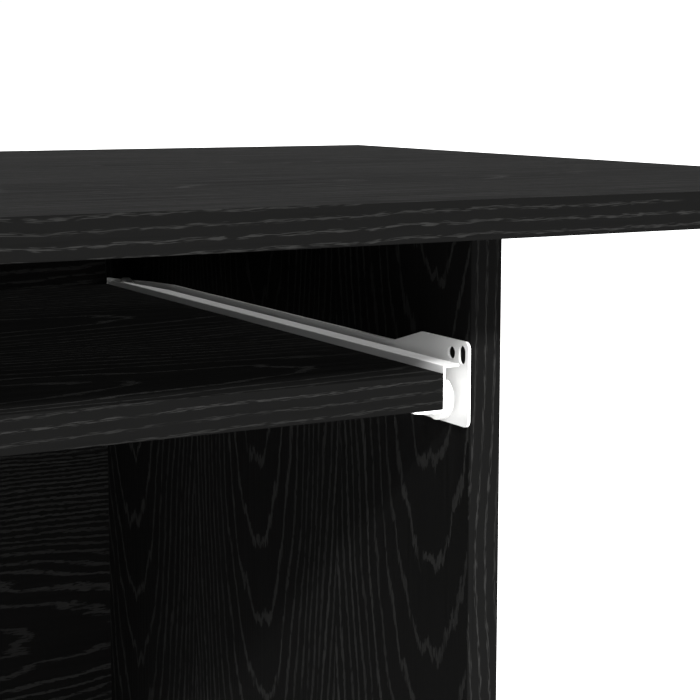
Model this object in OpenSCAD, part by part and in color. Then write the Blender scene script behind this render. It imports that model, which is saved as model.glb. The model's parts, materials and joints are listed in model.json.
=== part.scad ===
// Computer desk with a pull-out keyboard tray, in millimetres.
// +Z is up, +X runs across the desk, and -Y points at the person who sits at it.
// The origin is on the floor, under the middle of the desktop.

/* [Desktop] */
// Width of the desktop
desk_w = 1100; // [900:10:1400]
// Depth of the desktop
desk_d = 530; // [500:5:600]
// Height of the desktop's upper face above the floor
desk_h = 750; // [700:5:780]
// Thickness of every board
board = 15; // [15:0.5:18]
// Thickness of the edge banding
band = 1; // [0.5:0.1:2]

/* [Side and back panels] */
// How far the desktop reaches past the outer face of each side panel
overhang = 200; // [60:10:250]
// Distance from the desktop's front edge back to the front edges of the side panels
setback = 60; // [20:5:60]
// Depth of the side panels
side_d = 420; // [420:5:440]
// Height of the back panel
back_h = 400; // [300:10:500]
// Height of the plastic glides under the side panels
glide_h = 3; // [2:0.5:5]

/* [Keyboard tray] */
// Distance from the desktop's upper face down to the tray's upper face
tray_drop = 75.4; // [70:0.2:120]
// Depth of the tray
tray_d = 370; // [360:5:380]
// How far the tray's front edge stands behind the front edges of the side panels
tray_inset = 1; // [0:0.5:4]

/* [Roller slides] */
// Gap between the tray's end and the side panel, which one pair of rails fills
slide_gap = 12.5; // [12.5:0.1:14]
// Length of the cabinet rail
rail_len = 400; // [390:1:403]
// Thickness of the rails' sheet steel
sheet = 1; // [0.8:0.1:1.1]
// Diameter of the nylon rollers
roller_d = 18.6; // [17:0.1:18.8]
// Width of the nylon rollers
roller_w = 4.3; // [3.6:0.1:4.4]

/* [Hidden] */
$fn = 72;

// Boards
side_top = desk_h - board;
front_y = -desk_d / 2 + setback;
side_back_y = front_y + side_d;
back_y = side_back_y - board;
inner_x = desk_w / 2 - overhang - board;
side_mid_x = inner_x + board / 2;
back_mid_y = back_y + board / 2;
back_bottom = side_top - back_h;
band_round = band / 2;

// Tray
tray_top = desk_h - tray_drop;
tray_bottom = tray_top - board;
tray_front_y = front_y + tray_inset;
tray_end_x = inner_x - slide_gap;

// Tray rail: a flange under the tray, a wall beside its end, a top flange turned
// outwards, and below that a running flange that rests on the front roller
under_flange_w = 12.6;
top_flange_w = 7.4;
run_flange_w = 8;
run_drop = 6.5;
run_start = 13;
tray_rail_rise = 3.5;
tray_rail_short = 2.8;
tray_rail_len = tray_d - tray_rail_short;
tray_rail_end = tray_inset + tray_rail_len;
tray_rail_base = tray_bottom - sheet;
tray_rail_top = tray_top + tray_rail_rise;
run_flange_z = tray_rail_top - run_drop;
tail_len = 8.4;
tail_drop = 2.1;
corner_cut = 2.5;
bend_r = 0.5;

// The two flanges end short of the rear roller, and the top one tapers towards it
roller_r = roller_d / 2;
rear_roller_y = tray_rail_end - tail_len;
flange_clear = 5.5;
flange_taper = 47;
flange_end = rear_roller_y - roller_r - flange_clear;
flange_full_len = flange_end - flange_taper;

// Running gaps of the rollers
running = 0.06;
roll_gap = 0.3;
side_play = 0.1;

// Cabinet rail: a web on the side panel with a taller screw plate at its front, a
// keeper tab over the running flange, and a track below for the rear roller
web_rise = 2.2;
web_top = tray_rail_top + web_rise;
keeper_w = 7.5;
keeper_start = 51;
keeper_len = 12;
keeper_gap = 0.4;
track_w = 10.6;
plate_rise = 6.4;
plate_len = 37;
plate_slope = 22.5;
plate_foot = 8.1;
plate_foot_len = 40;
plate_corner = 3;
level_end = 300;
dip_y = 333;
dip = 1.5;
end_dip = 5.6;
rear_roller_rise = 0.8;
rear_roller_z = tray_rail_top + rear_roller_rise - roller_r;
track_top = rear_roller_z - roller_r - roll_gap;
track_bottom = track_top - sheet;
front_roller_z = run_flange_z - roll_gap - roller_r;
front_roller_y = 15.6;
track_start = front_roller_y + roller_r + 3;
plate_hole_r = 2.7;
plate_hole_y = 13;
plate_slot_y = 4.9;
plate_slot_r = 2.5;
plate_slot_h = 7.8;
plate_hole_drop = 5.8;
rail_screw_ys = [46, 190, 334];
rail_screw_z = (web_top + track_bottom) / 2;

// Rivets
rivet_r = 2.5;
rivet_head_r = 4.2;
rivet_head_h = 0.8;
front_shoulder = 2.4;
rear_shoulder = 4.6;

// Screws
screw_r = 1.6;
screw_len = 12;
csk_r = 3.3;
csk_h = 1.9;
pan_r = 3.3;
pan_h = 1.7;
cross_l = 3.8;
cross_w = 0.8;
cross_h = 1.1;
tray_screw_ys = [40, 185, 330];
tray_screw_x = tray_end_x - under_flange_w * 0.52;

// Cam fittings and dowels
thread_r = 3;
thread_l = 11;
bolt_hole_r = 4;
bolt_shaft_r = 2.4;
bolt_head_r = 3.3;
cam_r = 7.4;
cam_h = 12;
cam_c = 24;
cap_r = 8.8;
cap_h = 0.8;
dowel_r = 4;
dowel_in_face = 9.5;
dowel_in_edge = 18.5;
drill = 0.1;
top_bolt_ys = [front_y + 60, side_back_y - 75];
top_dowel_ys = [front_y + 110, side_back_y - 125];
back_bolt_zs = [back_bottom + 60, side_top - 60];
back_dowel_zs = [back_bottom + 110, side_top - 110];

// Glides
glide_r = 7;
nail_r = 0.9;
nail_l = 14;
nail_head_r = 2.4;
nail_head_h = 0.8;
glide_ys = [front_y + 30, side_back_y - 30];

module black_oak() color([0.16, 0.155, 0.15]) children();
module oak_band() color([0.2, 0.195, 0.19]) children();
module white_steel() color([0.93, 0.93, 0.92]) children();
module nylon() color([0.97, 0.97, 0.95]) children();
module zinc() color([0.72, 0.73, 0.75]) children();
module black_plastic() color([0.08, 0.08, 0.08]) children();
module beech() color([0.8, 0.66, 0.46]) children();

// A box from its lowest corner to its highest
module block(lo, hi) translate(lo) cube(hi - lo);

// A drawing in Y and Z, made into a plate that runs from x to x + t
module plate(x, t) translate([x, 0, 0]) rotate([90, 0, 90]) linear_extrude(t) children();

// A drawing in X and Z, run along Y from y to y + l
module run(y, l) translate([0, y + l, 0]) rotate([90, 0, 0]) linear_extrude(l) children();

// Both sides of the desk, from what is drawn on the right
module both_sides() for (flip = [0, 1]) mirror([flip, 0, 0]) children();

// Turns what is drawn along +Z to point along +X
module along_x() rotate([0, 90, 0]) children();

// Cross-section of edge banding, w thick from its outer face at 0 and h high
module band_section(w, h) {
    translate([band_round, 0]) square([w - band_round, h]);
    translate([0, band_round]) square([w, h - 2 * band_round]);
    translate([band_round, band_round]) circle(band_round);
    translate([band_round, h - band_round]) circle(band_round);
}

// A strip of edge banding along X, its outer face at y, facing the front
module front_strip(x0, x1, y, z)
    translate([0, y, z]) plate(x0, x1 - x0) band_section(band, board);

// A strip of edge banding along Z, its outer face at y, facing the front
module upright_strip(x, y, z0, z1)
    translate([x, y, z0]) linear_extrude(z1 - z0) mirror([1, -1]) band_section(band, board);

// Cross recess that is cut into a screw head, downwards from 0
module cross_recess() for (a = [0, 90])
    rotate(a) translate([-cross_l / 2, -cross_w / 2, -cross_h]) cube([cross_l, cross_w, cross_h + 1]);

// Countersunk screw: its flat head is at 0 and its point is down
module countersunk_screw() difference() {
    rotate_extrude() polygon([[0, 0], [csk_r, 0], [csk_r, -0.2], [screw_r, -csk_h],
        [screw_r, 3 - screw_len], [0.3, -screw_len], [0, -screw_len]]);
    cross_recess();
}

// Countersink for that screw, a little wider than its head
module countersink() translate([0, 0, -csk_h - drill])
    cylinder(r1 = screw_r + drill, r2 = csk_r + 4 * drill, h = csk_h + 2 * drill);

// Pilot hole for a screw, below its head
module screw_hole() translate([0, 0, -screw_len - 0.3]) cylinder(r = screw_r + drill, h = screw_len);

// Pan-head screw: the underside of its head is at 0 and its point is down
module pan_screw() difference() {
    rotate_extrude() polygon([[0, pan_h], [pan_r - 1.2, pan_h], [pan_r - 0.3, pan_h - 0.6], [pan_r, 0],
        [screw_r, 0], [screw_r, 3 - screw_len], [0.3, -screw_len], [0, -screw_len]]);
    translate([0, 0, pan_h]) cross_recess();
}

// Cam bolt: its thread points up from the joint at 0, and its head hangs in the cam
module cam_bolt() rotate_extrude() polygon([[0, thread_l], [thread_r - 0.6, thread_l],
    [thread_r, thread_l - 0.6], [thread_r, 0], [bolt_head_r, 0], [bolt_head_r, -1.5],
    [bolt_shaft_r, -1.5], [bolt_shaft_r, 3 - cam_c], [bolt_shaft_r - 0.6, 2.4 - cam_c],
    [bolt_shaft_r - 0.6, 1 - cam_c], [bolt_head_r, 0.4 - cam_c], [bolt_head_r, -1.6 - cam_c],
    [bolt_shaft_r, -2.6 - cam_c], [0, -2.6 - cam_c]]);

// Hole for a cam bolt, with the thread's hole above 0 and the shaft's hole below it
module cam_bolt_holes() {
    cylinder(r = thread_r + drill, h = thread_l + drill);
    translate([0, 0, -cam_c - 3]) cylinder(r = bolt_hole_r, h = cam_c + 3);
}

// Cam: a disc whose face is at 0 and whose body is below it, with a hole in its rim
// for the bolt, which comes along +X at the middle of the board
module cam() difference() {
    translate([0, 0, -cam_h]) cylinder(r = cam_r, h = cam_h);
    translate([-4.5, 0, -board / 2]) along_x() cylinder(r = bolt_head_r + 0.4, h = cam_r + 6);
    cross_recess();
}

module cam_hole() translate([0, 0, -cam_h - drill]) cylinder(r = cam_r + drill, h = cam_h + 1);

// Cover cap that is stuck on the board over a cam
module cam_cap() rotate_extrude()
    polygon([[0, 0], [cap_r, 0], [cap_r, cap_h * 0.4], [cap_r - cap_h * 0.6, cap_h], [0, cap_h]]);

// Wooden dowel that crosses the joint at 0
module dowel() rotate_extrude() polygon([[0, dowel_in_face], [dowel_r - 1, dowel_in_face],
    [dowel_r, dowel_in_face - 1], [dowel_r, 1 - dowel_in_edge], [dowel_r - 1, -dowel_in_edge],
    [0, -dowel_in_edge]]);

module dowel_hole() translate([0, 0, -dowel_in_edge - 0.5])
    cylinder(r = dowel_r + drill, h = dowel_in_face + dowel_in_edge + 1);

// Places of the fittings in the right-hand joint between side panel and desktop
module at_top_bolts() for (y = top_bolt_ys) translate([side_mid_x, y, side_top]) children();
module at_top_dowels() for (y = top_dowel_ys) translate([side_mid_x, y, side_top]) children();

// Places of the cams on the outer face of the right side panel. Local +Z points out,
// and local +X points up the bolt.
module at_top_cams() for (y = top_bolt_ys)
    translate([inner_x + board, y, side_top - cam_c]) rotate([0, 90, 0]) rotate(180) children();

// Places of the fittings in the right-hand joint between back and side panel
module at_back_bolts() for (z = back_bolt_zs) translate([inner_x, back_mid_y, z]) along_x() children();
module at_back_dowels() for (z = back_dowel_zs) translate([inner_x, back_mid_y, z]) along_x() children();
module at_back_cams() for (z = back_bolt_zs)
    translate([inner_x - cam_c, side_back_y, z]) rotate([-90, 0, 0]) children();

// Places of the screws that hold the right-hand rails. Local +Z points out of the head.
module at_cabinet_screws() for (y = rail_screw_ys)
    translate([inner_x - sheet, front_y + y, rail_screw_z]) rotate([0, -90, 0]) children();
module at_tray_screws() for (y = tray_screw_ys)
    translate([tray_screw_x, tray_front_y + y, tray_rail_base]) rotate([180, 0, 0]) children();

// Places of the glides under the right side panel
module at_glides() for (y = glide_ys) translate([side_mid_x, y, 0]) children();

// ---- Desktop ----
module desktop() black_oak() difference() {
    block([band - desk_w / 2, band - desk_d / 2, side_top], [desk_w / 2 - band, desk_d / 2 - band, desk_h]);
    both_sides() {
        at_top_bolts() cam_bolt_holes();
        at_top_dowels() dowel_hole();
    }
}

module desktop_front_band() oak_band() front_strip(-desk_w / 2, desk_w / 2, -desk_d / 2, side_top);

module desktop_rear_band() mirror([0, 1, 0]) desktop_front_band();

module desktop_right_band() oak_band()
    run(band - desk_d / 2, desk_d - 2 * band)
        translate([desk_w / 2, side_top]) mirror([1, 0]) band_section(band, board);

module desktop_left_band() mirror([1, 0, 0]) desktop_right_band();

// ---- Side panels ----
module right_side_panel() black_oak() difference() {
    block([inner_x, front_y + band, glide_h], [inner_x + board, side_back_y - band, side_top]);
    at_top_bolts() cam_bolt_holes();
    at_top_dowels() dowel_hole();
    at_top_cams() cam_hole();
    at_back_bolts() cam_bolt_holes();
    at_back_dowels() dowel_hole();
    at_cabinet_screws() screw_hole();
    at_cabinet_screws() countersink();
    at_glides() translate([0, 0, -1]) cylinder(r = nail_r + drill, h = nail_l + 2);
}

module left_side_panel() mirror([1, 0, 0]) right_side_panel();

module right_side_bands() oak_band() {
    upright_strip(inner_x, front_y, glide_h, side_top);
    translate([0, front_y + side_back_y, 0]) mirror([0, 1, 0])
        upright_strip(inner_x, front_y, glide_h, side_top);
}

module left_side_bands() mirror([1, 0, 0]) right_side_bands();

// ---- Back panel ----
module back_panel() black_oak() difference() {
    block([-inner_x, back_y, back_bottom + band], [inner_x, side_back_y, side_top]);
    both_sides() {
        at_back_bolts() cam_bolt_holes();
        at_back_dowels() dowel_hole();
        at_back_cams() cam_hole();
    }
}

module back_panel_band() oak_band() plate(-inner_x, 2 * inner_x)
    translate([back_y, back_bottom]) mirror([1, -1]) band_section(band, board);

// ---- Keyboard tray ----
module keyboard_tray() black_oak() difference() {
    block([-tray_end_x, tray_front_y + band, tray_bottom],
        [tray_end_x, tray_front_y + tray_d - band, tray_top]);
    both_sides() at_tray_screws() screw_hole();
}

module tray_front_band() oak_band() front_strip(-tray_end_x, tray_end_x, tray_front_y, tray_bottom);

module tray_rear_band() translate([0, 2 * tray_front_y + tray_d, 0]) mirror([0, 1, 0]) tray_front_band();

// ---- Roller slides ----
// Side view of the cabinet rail's web. Its screw plate is taller at the front, and
// its top edge dips over the last quarter so that the tray rolls shut.
module web_outline() difference() {
    translate([front_y, 0]) union() {
        difference() {
            polygon([[0, track_bottom - plate_foot], [plate_foot_len, track_bottom - plate_foot],
                [plate_foot_len + plate_foot, track_bottom], [rail_len, track_bottom],
                [rail_len, web_top - end_dip], [dip_y, web_top - dip], [level_end, web_top],
                [plate_len + plate_slope, web_top], [plate_len, web_top + plate_rise],
                [0, web_top + plate_rise]]);
            translate([-1, web_top + plate_rise - plate_corner]) square(plate_corner + 1);
            translate([-1, track_bottom - plate_foot]) square([plate_corner + 1, plate_corner]);
        }
        translate([plate_corner, web_top + plate_rise - plate_corner]) circle(plate_corner);
        translate([plate_corner, track_bottom - plate_foot + plate_corner]) circle(plate_corner);
    }
    translate([front_y + plate_hole_y, web_top + plate_rise - plate_hole_drop]) circle(plate_hole_r);
    translate([front_y + plate_slot_y, web_top + plate_rise - plate_hole_drop]) {
        straight = plate_slot_h - 2 * plate_slot_r;
        for (z = [-1, 1]) translate([0, z * straight / 2]) circle(plate_slot_r);
        square([2 * plate_slot_r, straight], center = true);
    }
}

// Tab pressed inwards from the web over the tray rail's running flange. It stops the
// pulled-out tray from tipping.
module keeper() block(
    [inner_x - keeper_w, front_y + keeper_start, run_flange_z + sheet + keeper_gap],
    [inner_x - sheet / 2, front_y + keeper_start + keeper_len, run_flange_z + 2 * sheet + keeper_gap]);

module right_cabinet_rail() white_steel() difference() {
    union() {
        plate(inner_x - sheet, sheet) web_outline();
        keeper();
        block([inner_x - track_w, front_y + track_start, track_bottom],
            [inner_x - sheet / 2, front_y + rail_len, track_top]);
    }
    at_cabinet_screws() countersink();
    translate([inner_x - 2 * sheet, front_y + front_roller_y, front_roller_z])
        along_x() cylinder(r = rivet_r + running, h = 3 * sheet);
    translate([inner_x - track_w, front_y + track_start, track_bottom - 1])
        rotate(45) cube([3, 3, 2 * sheet + 2], center = true);
}

module left_cabinet_rail() mirror([1, 0, 0]) right_cabinet_rail();

// Cross-section of the tray rail: the flange under the tray points inwards and the
// top flange points outwards
module tray_rail_section() {
    h = tray_rail_top - tray_rail_base;
    translate([-under_flange_w, 0]) square([under_flange_w + sheet - bend_r, sheet]);
    translate([0, bend_r]) square([sheet, h - 2 * bend_r]);
    translate([bend_r, h - sheet]) square([top_flange_w - bend_r, sheet]);
    translate([sheet - bend_r, bend_r]) circle(bend_r);
    translate([bend_r, h - bend_r]) circle(bend_r);
}

// Flange part way down the tray rail's wall, which runs on the front roller and stops
// short of the rear one
module running_flange() translate([tray_end_x, front_y, run_flange_z]) linear_extrude(sheet)
    polygon([[sheet / 2, run_start], [run_flange_w - 1, run_start], [run_flange_w, run_start + 1],
        [run_flange_w, flange_end - 3], [run_flange_w - 3, flange_end], [sheet / 2, flange_end]]);

// What is cut from the right tray rail: the top flange tapers away before the rear
// roller, the wall dips behind it, and the lower flange has clipped corners
module tray_rail_cuts() {
    translate([tray_end_x, front_y, tray_rail_top - sheet - 0.01]) linear_extrude(sheet + 1)
        polygon([[top_flange_w + 1, flange_full_len], [top_flange_w, flange_full_len],
            [sheet, flange_end], [sheet, tray_rail_end + 1], [top_flange_w + 1, tray_rail_end + 1]]);
    plate(tray_end_x - 1, sheet + 2) translate([front_y, tray_rail_top])
        polygon([[flange_end, 1], [flange_end, 0], [tray_rail_end, -tail_drop],
            [tray_rail_end + 1, -tail_drop], [tray_rail_end + 1, 1]]);
    for (y = [tray_front_y, tray_front_y + tray_rail_len])
        translate([tray_end_x - under_flange_w, y, tray_rail_base])
            rotate(45) cube([corner_cut * sqrt(2), corner_cut * sqrt(2), 4 * sheet], center = true);
}

module right_tray_rail() white_steel() difference() {
    union() {
        run(tray_front_y, tray_rail_len) translate([tray_end_x, tray_rail_base]) tray_rail_section();
        running_flange();
    }
    tray_rail_cuts();
    at_tray_screws() translate([0, 0, -2 * sheet]) cylinder(r = screw_r + drill, h = 3 * sheet);
    translate([tray_end_x - sheet, front_y + rear_roller_y, rear_roller_z])
        along_x() cylinder(r = rivet_r + running, h = 3 * sheet);
}

module left_tray_rail() mirror([1, 0, 0]) right_tray_rail();

// Roller about Z, from 0 to roller_w, with a recess in each face
module roller() nylon() rotate_extrude() polygon([
    [rivet_r + running, 0], [rivet_head_r + 0.4, 0], [rivet_head_r + 0.4, 0.7], [roller_r - 2, 0.7],
    [roller_r - 2, 0], [roller_r - 0.5, 0], [roller_r, 0.5], [roller_r, roller_w - 0.5],
    [roller_r - 0.5, roller_w], [roller_r - 2, roller_w], [roller_r - 2, roller_w - 0.7],
    [rivet_head_r + 0.4, roller_w - 0.7], [rivet_head_r + 0.4, roller_w], [rivet_r + running, roller_w]]);

// Rivet about Z. Its end is flush with the sheet's back at 0, a shoulder keeps the
// roller off the sheet, and its head holds the roller on.
module rivet(shoulder) {
    shoulder_top = sheet + shoulder;
    head = shoulder_top + roller_w + 2 * side_play;
    zinc() rotate_extrude() polygon([[0, 0], [rivet_r, 0], [rivet_r, sheet], [rivet_head_r, sheet],
        [rivet_head_r, shoulder_top], [rivet_r, shoulder_top], [rivet_r, head], [rivet_head_r, head],
        [rivet_head_r, head + rivet_head_h * 0.5], [rivet_head_r - 0.8, head + rivet_head_h],
        [0, head + rivet_head_h]]);
}

// Axles of the right-hand rollers. Local +Z points from the sheet to the rivet's head.
module at_front_axle() translate([inner_x, front_y + front_roller_y, front_roller_z])
    rotate([0, -90, 0]) children();
module at_rear_axle() translate([tray_end_x, front_y + rear_roller_y, rear_roller_z])
    along_x() children();

module right_front_rivet() at_front_axle() rivet(front_shoulder);
module left_front_rivet() mirror([1, 0, 0]) right_front_rivet();
module right_rear_rivet() at_rear_axle() rivet(rear_shoulder);
module left_rear_rivet() mirror([1, 0, 0]) right_rear_rivet();

module right_front_roller() at_front_axle() translate([0, 0, sheet + front_shoulder + side_play]) roller();
module left_front_roller() mirror([1, 0, 0]) right_front_roller();
module right_rear_roller() at_rear_axle() translate([0, 0, sheet + rear_shoulder + side_play]) roller();
module left_rear_roller() mirror([1, 0, 0]) right_rear_roller();

module cabinet_rail_screws() zinc() both_sides() at_cabinet_screws() countersunk_screw();
module tray_rail_screws() zinc() both_sides() at_tray_screws() pan_screw();

// ---- Fittings ----
module top_cam_bolts() zinc() both_sides() at_top_bolts() cam_bolt();
module top_cams() zinc() both_sides() at_top_cams() cam();
module top_dowels() beech() both_sides() at_top_dowels() dowel();
module back_cam_bolts() zinc() both_sides() at_back_bolts() cam_bolt();
module back_cams() zinc() both_sides() at_back_cams() cam();
module back_dowels() beech() both_sides() at_back_dowels() dowel();
module side_cam_caps() black_plastic() both_sides() at_top_cams() cam_cap();
module back_cam_caps() black_plastic() both_sides() at_back_cams() cam_cap();

// Glide: a plastic pad held by a nail whose head is sunk in its underside
module foot_glides() black_plastic() both_sides() at_glides() difference() {
    rotate_extrude() polygon([[0, 0], [glide_r - 1, 0], [glide_r, 1], [glide_r, glide_h], [0, glide_h]]);
    translate([0, 0, -1]) cylinder(r = nail_r + drill, h = glide_h + 2);
    translate([0, 0, -1]) cylinder(r = nail_head_r + drill, h = 1 + 2 * nail_head_h);
}

module glide_nails() zinc() both_sides() at_glides() translate([0, 0, nail_head_h]) rotate_extrude()
    polygon([[0, 0], [nail_head_r, 0], [nail_head_r, nail_head_h], [nail_r, nail_head_h],
        [nail_r, nail_l - 3], [0.2, nail_l], [0, nail_l]]);

desktop();
desktop_front_band();
desktop_rear_band();
desktop_left_band();
desktop_right_band();
left_side_panel();
right_side_panel();
left_side_bands();
right_side_bands();
back_panel();
back_panel_band();
keyboard_tray();
tray_front_band();
tray_rear_band();
left_cabinet_rail();
right_cabinet_rail();
left_tray_rail();
right_tray_rail();
left_front_roller();
right_front_roller();
left_rear_roller();
right_rear_roller();
left_front_rivet();
right_front_rivet();
left_rear_rivet();
right_rear_rivet();
cabinet_rail_screws();
tray_rail_screws();
top_cam_bolts();
top_cams();
top_dowels();
back_cam_bolts();
back_cams();
back_dowels();
side_cam_caps();
back_cam_caps();
foot_glides();
glide_nails();
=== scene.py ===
"""Looks for the computer desk with keyboard tray: black oak boards on white roller slides.

Everything is in metres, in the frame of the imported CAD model: +X across the desk, -Y
towards the sitter, +Z up. Grain, noise and bumps are sized in millimetres.
"""
import json
import math

import bpy
from mathutils import Euler, Matrix, Vector


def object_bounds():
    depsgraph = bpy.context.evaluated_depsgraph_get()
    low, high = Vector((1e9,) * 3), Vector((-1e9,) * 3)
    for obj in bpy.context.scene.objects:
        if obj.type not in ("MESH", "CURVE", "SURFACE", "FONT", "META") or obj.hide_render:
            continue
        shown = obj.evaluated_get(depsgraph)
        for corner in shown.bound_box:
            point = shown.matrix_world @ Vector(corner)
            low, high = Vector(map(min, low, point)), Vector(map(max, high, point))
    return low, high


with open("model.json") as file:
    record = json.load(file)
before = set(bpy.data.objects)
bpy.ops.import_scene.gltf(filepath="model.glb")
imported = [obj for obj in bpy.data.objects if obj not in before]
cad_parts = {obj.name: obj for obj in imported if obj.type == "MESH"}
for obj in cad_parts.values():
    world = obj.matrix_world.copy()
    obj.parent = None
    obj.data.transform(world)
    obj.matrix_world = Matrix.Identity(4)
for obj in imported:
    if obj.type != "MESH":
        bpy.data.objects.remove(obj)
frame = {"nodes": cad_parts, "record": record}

MM = 0.001
cad_low, cad_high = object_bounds()

# ---------------------------------------------------------------- camera

# Where the camera stands, measured from the desktop's right-hand front upper corner
CAMERA_LEFT = 0.6073
CAMERA_FRONT = 0.5334
CAMERA_ABOVE = 0.0418
CAMERA_YAW = 29.47
CAMERA_PITCH = 6.84
CAMERA_ROLL = -0.099
CAMERA_LENS = 89.86
CAMERA_SENSOR = 36
CAMERA_SHIFT_Y = -0.08
CAMERA_NEAR = 0.01


def make_camera():
    data = bpy.data.cameras.new("camera")
    data.lens = CAMERA_LENS
    data.sensor_width = CAMERA_SENSOR
    data.shift_y = CAMERA_SHIFT_Y
    data.clip_start = CAMERA_NEAR
    data.dof.use_dof = False
    camera = bpy.data.objects.new("camera", data)
    bpy.context.scene.collection.objects.link(camera)
    camera.location = (
        cad_high.x - CAMERA_LEFT,
        cad_low.y - CAMERA_FRONT,
        cad_high.z + CAMERA_ABOVE,
    )
    aim = Euler((math.radians(90 - CAMERA_PITCH), 0, math.radians(-CAMERA_YAW)), "XYZ")
    roll = Matrix.Rotation(math.radians(-CAMERA_ROLL), 3, "Z")
    camera.rotation_euler = (aim.to_matrix() @ roll).to_euler()
    bpy.context.scene.camera = camera


# ---------------------------------------------------------------- node helpers

AXIS = {"x": 0, "y": 1, "z": 2}


class Shader:
    """A material's node tree, with short calls for the nodes that its recipe uses."""

    def __init__(self, name):
        self.material = bpy.data.materials.new(name)
        self.material.use_nodes = True
        self.tree = self.material.node_tree
        self.tree.nodes.clear()
        self.output = self.tree.nodes.new("ShaderNodeOutputMaterial")

    def add(self, kind, inputs=None, **settings):
        made = self.tree.nodes.new(kind)
        for key, value in settings.items():
            setattr(made, key, value)
        for key, value in (inputs or {}).items():
            self.put(made.inputs[key], value)
        return made

    def put(self, socket, value):
        if isinstance(value, bpy.types.NodeSocket):
            self.tree.links.new(value, socket)
        else:
            socket.default_value = value

    def math(self, operation, a, b=0.0, c=0.0, clamp=False):
        made = self.add("ShaderNodeMath", operation=operation, use_clamp=clamp)
        for socket, value in zip(made.inputs, (a, b, c)):
            self.put(socket, value)
        return made.outputs[0]

    def place(self, along, across):
        """The object's own coordinates in millimetres, along and across the grain."""
        coords = self.add("ShaderNodeTexCoord").outputs["Object"]
        split = self.add("ShaderNodeSeparateXYZ", {0: coords})
        return [
            self.math("MULTIPLY", split.outputs[AXIS[axis]], 1 / MM) for axis in (along, across)
        ]

    def noise(self, u, v, length, width, seed, detail=2.0, roughness=0.5):
        """Noise from 0 to 1 with blotches about length by width millimetres."""
        place = self.add(
            "ShaderNodeCombineXYZ",
            {0: self.math("DIVIDE", u, length), 1: self.math("DIVIDE", v, width), 2: seed},
        )
        made = self.add(
            "ShaderNodeTexNoise",
            {"Vector": place.outputs[0], "Scale": 1.0, "Detail": detail, "Roughness": roughness},
        )
        return made.outputs[0]

    def wander(self, reach, u, v, length, width, seed, detail, roughness=0.5):
        """Noise that runs from -reach to reach."""
        noise = self.noise(u, v, length, width, seed, detail, roughness)
        return self.math("MULTIPLY_ADD", noise, 2 * reach, -reach)

    def random(self, whole):
        """A number from 0 to 1 that stays the same for the same whole number."""
        made = self.add("ShaderNodeTexWhiteNoise", {1: whole}, noise_dimensions="1D")
        return made.outputs[0]

    def ramp(self, value, low, high, out_low=0.0, out_high=1.0, smooth=True):
        made = self.add(
            "ShaderNodeMapRange",
            {0: value, 1: low, 2: high, 3: out_low, 4: out_high},
            interpolation_type="SMOOTHSTEP" if smooth else "LINEAR",
            clamp=True,
        )
        return made.outputs[0]

    def mix_colour(self, factor, a, b):
        made = self.add("ShaderNodeMix", data_type="RGBA")
        self.put(made.inputs["Factor"], factor)
        self.put(made.inputs[6], a)
        self.put(made.inputs[7], b)
        return made.outputs[2]

    def length(self, a, b):
        """The long side of a right-angled triangle with sides a and b."""
        return self.math(
            "SQRT", self.math("MULTIPLY_ADD", a, a, self.math("MULTIPLY", b, b))
        )

    def bump(self, height, distance, strength):
        made = self.add(
            "ShaderNodeBump",
            {"Height": height, "Distance": distance * MM, "Strength": strength},
        )
        return made.outputs[0]

    def finish(self, **sockets):
        shader = self.add(
            "ShaderNodeBsdfPrincipled", {k.replace("_", " "): v for k, v in sockets.items()}
        )
        self.tree.links.new(shader.outputs[0], self.output.inputs[0])
        return self.material


# ---------------------------------------------------------------- black oak

OAK_BASE = (0.0042, 0.0042, 0.0041, 1)
OAK_DARK = (0.0030, 0.0030, 0.0029, 1)
OAK_LINE = (0.0165, 0.0165, 0.0160, 1)
OAK_ROUGHNESS = (0.66, 0.86)
OAK_SPECULAR = 0.02
OAK_RELIEF = 0.12

# Rows of pores: how much they thin out towards a row's edge, and how soft a pore's
# outline and a row's edge are
ROW_THINNING = 0.24
PORE_EDGE = 0.09
ROW_EDGE = 0.3
# Bare patches between pores, in lengths of a pore and in rows, and the faintest row
PATCH_LENGTH = 6.0
PATCH_ROWS = 2.0
PATCH_LIMITS = (0.28, 0.42)
FAINTEST_ROW = 0.6

# Cathedral arches, in millimetres: how far their columns sway, how far a column is shifted
# along the grain, how wide the folds and the round tips are, and how wavy the rows are
ARCH_SWAY = 23.0
ARCH_SHIFT = 300.0
ARCH_FOLD = 90.0
ARCH_TIP = 25.0
ARCH_WARP = 1.6
# Half the width of a row, at an arch's tip and how much wider it is on the flanks
FACE_REACH = 0.20
FACE_REACH_GAIN = 0.78
FACE_PORE = (5.0, 0.8)
FACE_SPARSE = 0.28

# Edge bands, in millimetres: slow drift and quick waves of their rows
BAND_DRIFT = 11.0
BAND_WAVE = 1.3
BAND_SPACING = 4.7
BAND_REACH = 1.0
BAND_PORE = (7.0, 0.32)
BAND_SPARSE = 0.40


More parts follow.
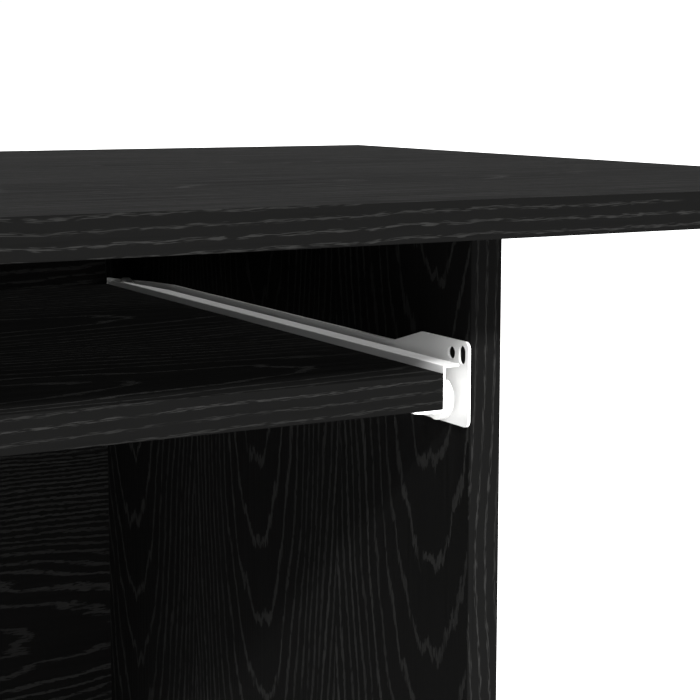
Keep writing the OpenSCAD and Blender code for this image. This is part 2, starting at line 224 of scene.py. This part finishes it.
def oak_lines(s, rings, ring, reach, pore, sparse, u, v, seed):
    """Rows of short pale pores, like dashes, where rings passes half numbers.

    ring is the distance between rows and reach is half of a row's width. pore is the
    length and the width of a pore. All of them are in millimetres. A higher sparse
    leaves fewer pores.
    """
    length, width = pore
    aside = s.math("ABSOLUTE", s.math("SUBTRACT", s.math("FRACT", rings), 0.5))
    off_row = s.math("DIVIDE", s.math("MULTIPLY", aside, ring), reach)
    row = s.math("SUBTRACT", 1.0, off_row, clamp=True)
    thinned = s.math("SUBTRACT", s.noise(u, v, length, width, seed + 3.0, 1.0), ROW_THINNING)
    pores = s.math("MULTIPLY_ADD", row, ROW_THINNING, thinned)
    pores = s.ramp(pores, sparse, sparse + PORE_EDGE)
    pores = s.math("MULTIPLY", pores, s.ramp(row, 0.0, ROW_EDGE))
    patches = s.noise(u, v, length * PATCH_LENGTH, ring * PATCH_ROWS, seed + 7.0)
    patches = s.ramp(patches, *PATCH_LIMITS)
    per_row = s.random(s.math("ADD", s.math("FLOOR", rings), seed * 17.0))
    strength = s.ramp(per_row, 0.0, 1.0, FAINTEST_ROW, 1.0, smooth=False)
    return s.math("MULTIPLY", s.math("MULTIPLY", pores, patches), strength)


def oak_finish(s, line, streak, u, v, seed):
    """Foil with printed streaks and pressed pores, duller where the fine grain is high."""
    base = s.mix_colour(streak, OAK_DARK, OAK_BASE)
    grain = s.noise(u, v, 9.0, 0.7, seed + 11.0, 2.0, 0.6)
    height = s.math("MULTIPLY_ADD", line, 0.6, s.math("MULTIPLY", grain, 0.4))
    dullness = s.math("ADD", s.math("MULTIPLY", grain, 0.4), s.math("MULTIPLY", streak, 0.6))
    return s.finish(
        Base_Color=s.mix_colour(line, base, OAK_LINE),
        Roughness=s.ramp(dullness, 0.2, 0.8, *OAK_ROUGHNESS),
        Specular_IOR_Level=OAK_SPECULAR,
        Normal=s.bump(height, OAK_RELIEF, 0.6),
    )


def oak_face(name, along, across, seed, ring=3.3, cell=165.0, slope=0.08, centre=0.0):
    """A board's face, with nested cathedral arches side by side along the grain.

    ring is the distance between rows, cell the width of a column of arches and centre the
    middle of one column, in millimetres. A lower slope draws the arches out longer.
    """
    s = Shader(name)
    u, v = s.place(along, across)
    sway = s.wander(ARCH_SWAY, u, v, 340.0, 120.0, seed + 1.0, 2.0)
    v_cell = s.math("DIVIDE", s.math("ADD", s.math("SUBTRACT", v, centre), sway), cell)
    cell_at = s.math("FLOOR", s.math("ADD", v_cell, 0.5))
    off = s.math("MULTIPLY", s.math("SUBTRACT", v_cell, cell_at), cell)
    shift = s.random(s.math("ADD", cell_at, seed * 5.3))
    u_here = s.math("MULTIPLY_ADD", shift, ARCH_SHIFT, u)
    fold = s.math("PINGPONG", s.math("MULTIPLY_ADD", u_here, slope, 55.0), ARCH_FOLD)
    fold = s.math("ADD", fold, ARCH_TIP)
    radius = s.length(off, fold)
    warp = s.wander(ARCH_WARP, u, v, 60.0, 9.0, seed + 2.0, 3.0, 0.55)
    rings = s.math("DIVIDE", s.math("ADD", radius, warp), ring)
    steep = s.math("DIVIDE", s.length(off, s.math("MULTIPLY", fold, slope)), radius)
    reach = s.math("MULTIPLY_ADD", steep, FACE_REACH_GAIN, FACE_REACH)
    line = oak_lines(s, rings, ring, reach, FACE_PORE, FACE_SPARSE, u, v, seed)
    streak = s.noise(u, v, 120.0, 2.2, seed + 5.0, 3.0, 0.6)
    return oak_finish(s, line, s.ramp(streak, 0.3, 0.7), u, v, seed)


def oak_band(name, along, across, seed):
    """Edge banding: a plain dark strip with a few rows of pale dashes that wander along it."""
    s = Shader(name)
    u, v = s.place(along, across)
    drift = s.wander(BAND_DRIFT, u, v, 210.0, 4000.0, seed + 1.0, 1.0)
    wave = s.wander(BAND_WAVE, u, v, 30.0, 60.0, seed + 2.0, 3.0, 0.55)
    v_row = s.math("ADD", v, s.math("ADD", drift, wave))
    rings = s.math("DIVIDE", v_row, BAND_SPACING)
    line = oak_lines(s, rings, BAND_SPACING, BAND_REACH, BAND_PORE, BAND_SPARSE, u, v_row, seed)
    streak = s.noise(u, v, 60.0, 2.0, seed + 5.0, 2.0, 0.6)
    return oak_finish(s, line, s.ramp(streak, 0.1, 0.5), u, v, seed)


# ---------------------------------------------------------------- metal, nylon and the rest

EPOXY = (0.66, 0.66, 0.655, 1), (0.71, 0.71, 0.705, 1)
NYLON = (0.76, 0.76, 0.74, 1), (0.81, 0.81, 0.79, 1)
ZINC = (0.50, 0.51, 0.53, 1), (0.68, 0.69, 0.70, 1)
PLASTIC = (0.005, 0.005, 0.005, 1), (0.009, 0.009, 0.009, 1)
BEECH = (0.42, 0.25, 0.13, 1), (0.55, 0.36, 0.20, 1)


def white_epoxy():
    """Baked white coating with a fine orange peel."""
    s = Shader("white_epoxy")
    u, v = s.place("y", "z")
    peel = s.noise(u, v, 1.6, 1.6, 2.0)
    cloud = s.noise(u, v, 30.0, 14.0, 4.0)
    return s.finish(
        Base_Color=s.mix_colour(s.ramp(cloud, 0.3, 0.7), *EPOXY),
        Roughness=s.ramp(peel, 0.3, 0.7, 0.30, 0.40),
        Specular_IOR_Level=0.5,
        Coat_Weight=0.2,
        Coat_Roughness=0.2,
        Normal=s.bump(peel, 0.03, 0.5),
    )


def nylon_white():
    """Milky moulded nylon that lets a little light in."""
    s = Shader("nylon_white")
    u, v = s.place("y", "z")
    mottle = s.noise(u, v, 3.0, 3.0, 1.0, 3.0)
    return s.finish(
        Base_Color=s.mix_colour(s.ramp(mottle, 0.3, 0.7), *NYLON),
        Roughness=s.ramp(mottle, 0.3, 0.7, 0.38, 0.5),
        Specular_IOR_Level=0.4,
        Subsurface_Weight=0.15,
        Subsurface_Radius=(2 * MM, 2 * MM, 2 * MM),
        Normal=s.bump(mottle, 0.04, 0.5),
    )


def zinc_plate():
    """Zinc-plated steel and cast zinc, slightly clouded."""
    s = Shader("zinc_plate")
    u, v = s.place("x", "z")
    cloud = s.noise(u, v, 1.2, 1.2, 3.0, 3.0, 0.6)
    return s.finish(
        Base_Color=s.mix_colour(s.ramp(cloud, 0.35, 0.65), *ZINC),
        Metallic=1.0,
        Roughness=s.ramp(cloud, 0.3, 0.7, 0.28, 0.45),
        Normal=s.bump(cloud, 0.02, 0.5),
    )


def black_plastic():
    """Moulded black plastic with a stippled surface."""
    s = Shader("black_plastic")
    u, v = s.place("x", "z")
    stipple = s.noise(u, v, 0.8, 0.8, 6.0, 2.0, 0.6)
    return s.finish(
        Base_Color=s.mix_colour(stipple, *PLASTIC),
        Roughness=s.ramp(stipple, 0.3, 0.7, 0.45, 0.6),
        Specular_IOR_Level=0.3,
        Normal=s.bump(stipple, 0.05, 0.6),
    )


def raw_beech():
    """Unfinished beech with short flecks."""
    s = Shader("raw_beech")
    u, v = s.place("z", "x")
    fleck = s.noise(u, v, 6.0, 0.6, 8.0, 3.0, 0.6)
    return s.finish(
        Base_Color=s.mix_colour(s.ramp(fleck, 0.35, 0.65), *BEECH),
        Roughness=0.7,
        Normal=s.bump(fleck, 0.1, 0.5),
    )


# ---------------------------------------------------------------- who wears what

# How far the slides' sheet edges are rounded, in millimetres, and where an edge begins
STEEL_BEVEL = 0.15
STEEL_EDGE_ANGLE = 50


def dress(node, material):
    """Gives a CAD node its material."""
    mesh = frame["nodes"][node].data
    mesh.materials.clear()
    mesh.materials.append(material)


def soften(node):
    """Rounds a steel node's sharp edges a little, so that they catch the light."""
    bevel = frame["nodes"][node].modifiers.new("edges", "BEVEL")
    bevel.width = STEEL_BEVEL * MM
    bevel.segments = 2
    bevel.limit_method = "ANGLE"
    bevel.angle_limit = math.radians(STEEL_EDGE_ANGLE)


def dress_boards():
    broad = dict(ring=4.0, slope=0.05)
    fine = dict(ring=2.3, slope=0.03)
    faces = {
        "desktop": oak_face("oak_desktop", "x", "y", 1.0, cell=190.0, centre=60.0, **broad),
        "keyboard_tray": oak_face("oak_tray", "x", "y", 2.0, cell=180.0, centre=20.0, **broad),
        "back_panel": oak_face("oak_back", "x", "z", 3.0, cell=260.0, centre=455.0, **fine),
        "right_side_panel": oak_face("oak_right", "z", "y", 4.0, centre=155.0),
        "left_side_panel": oak_face("oak_left", "z", "y", 5.0, centre=100.0),
    }
    bands = {
        "desktop_front_band": oak_band("oak_band_front", "x", "z", 1.0),
        "desktop_rear_band": oak_band("oak_band_rear", "x", "z", 2.0),
        "desktop_right_band": oak_band("oak_band_right", "y", "z", 3.0),
        "desktop_left_band": oak_band("oak_band_left", "y", "z", 4.0),
        "right_side_bands": oak_band("oak_band_upright_r", "z", "x", 5.0),
        "left_side_bands": oak_band("oak_band_upright_l", "z", "x", 6.0),
        "back_panel_band": oak_band("oak_band_back", "x", "y", 7.0),
        "tray_front_band": oak_band("oak_band_tray", "x", "z", 8.0),
        "tray_rear_band": oak_band("oak_band_tray_rear", "x", "z", 9.0),
    }
    for node, material in (faces | bands).items():
        dress(node, material)


def dress_fittings():
    by_slot = {
        "white_steel": white_epoxy(),
        "nylon": nylon_white(),
        "zinc": zinc_plate(),
        "black_plastic": black_plastic(),
        "beech": raw_beech(),
    }
    for part in frame["record"]["subparts"]:
        slot = part["material_slot"]
        if slot in by_slot:
            dress(part["node"], by_slot[slot])
        if slot == "white_steel":
            soften(part["node"])


# ---------------------------------------------------------------- floor, world and lights

# The world's brightness as a light, and as the white ground that the camera sees
AMBIENT = 0.85
SEEN_WHITE = 1.05

FLOOR_HALF = 40.0
FLOOR_COLOUR = (0.92, 0.92, 0.92, 1)
FLOOR_GLOW = 0.25

KEY_POWER = 6.6
KEY_SOFTNESS = 6.0
KEY_DIRECTION = (0.42, 1.70, -1.34)
LOW_POWER = 13.0
LOW_SOFTNESS = 2.0
LOW_DIRECTION = (0.0, 0.994, -0.113)
LOW_REACHES = (
    "keyboard_tray",
    "left_tray_rail",
    "right_tray_rail",
    "left_cabinet_rail",
    "right_cabinet_rail",
)


def make_world():
    """An even white surround: AMBIENT lights the scene, the camera sees SEEN_WHITE."""
    world = bpy.data.worlds.new("studio")
    bpy.context.scene.world = world
    world.use_nodes = True
    tree = world.node_tree
    tree.nodes.clear()
    rays = tree.nodes.new("ShaderNodeLightPath")
    mix = tree.nodes.new("ShaderNodeMixShader")
    out = tree.nodes.new("ShaderNodeOutputWorld")
    tree.links.new(rays.outputs["Is Camera Ray"], mix.inputs[0])
    for socket, strength in ((mix.inputs[1], AMBIENT), (mix.inputs[2], SEEN_WHITE)):
        white = tree.nodes.new("ShaderNodeBackground")
        white.inputs[0].default_value = (1, 1, 1, 1)
        white.inputs[1].default_value = strength
        tree.links.new(white.outputs[0], socket)
    tree.links.new(mix.outputs[0], out.inputs[0])


def make_floor():
    """A pale floor that glows a little, so that it meets the white ground without a seam."""
    mesh = bpy.data.meshes.new("floor")
    corners = [
        (x * FLOOR_HALF, y * FLOOR_HALF, cad_low.z) for x, y in ((-1, -1), (1, -1), (1, 1), (-1, 1))
    ]
    mesh.from_pydata(corners, [], [(0, 1, 2, 3)])
    floor = bpy.data.objects.new("floor", mesh)
    bpy.context.scene.collection.objects.link(floor)
    pale = Shader("pale_floor").finish(
        Base_Color=FLOOR_COLOUR,
        Roughness=0.9,
        Specular_IOR_Level=0.0,
        Emission_Color=(1, 1, 1, 1),
        Emission_Strength=FLOOR_GLOW,
    )
    mesh.materials.append(pale)


def make_sun(name, power, softness, direction):
    data = bpy.data.lights.new(name, "SUN")
    data.energy = power
    data.angle = math.radians(softness)
    sun = bpy.data.objects.new(name, data)
    bpy.context.scene.collection.objects.link(sun)
    sun.rotation_euler = Vector(direction).to_track_quat("-Z", "Y").to_euler()
    return sun


def make_lights():
    """A soft key from the front left, and a low light that rakes back over the slides.

    The low one is linked to LOW_REACHES alone, because it would also light the back panel
    and the front edges.
    """
    make_sun("key", KEY_POWER, KEY_SOFTNESS, KEY_DIRECTION)
    low = make_sun("low", LOW_POWER, LOW_SOFTNESS, LOW_DIRECTION)
    raked = bpy.data.collections.new("raked")
    for name in LOW_REACHES:
        raked.objects.link(frame["nodes"][name])
    low.light_linking.receiver_collection = raked


# ---------------------------------------------------------------- build

make_camera()
dress_boards()
dress_fittings()
make_world()
make_floor()
make_lights()
bpy.context.scene.view_settings.view_transform = "Standard"
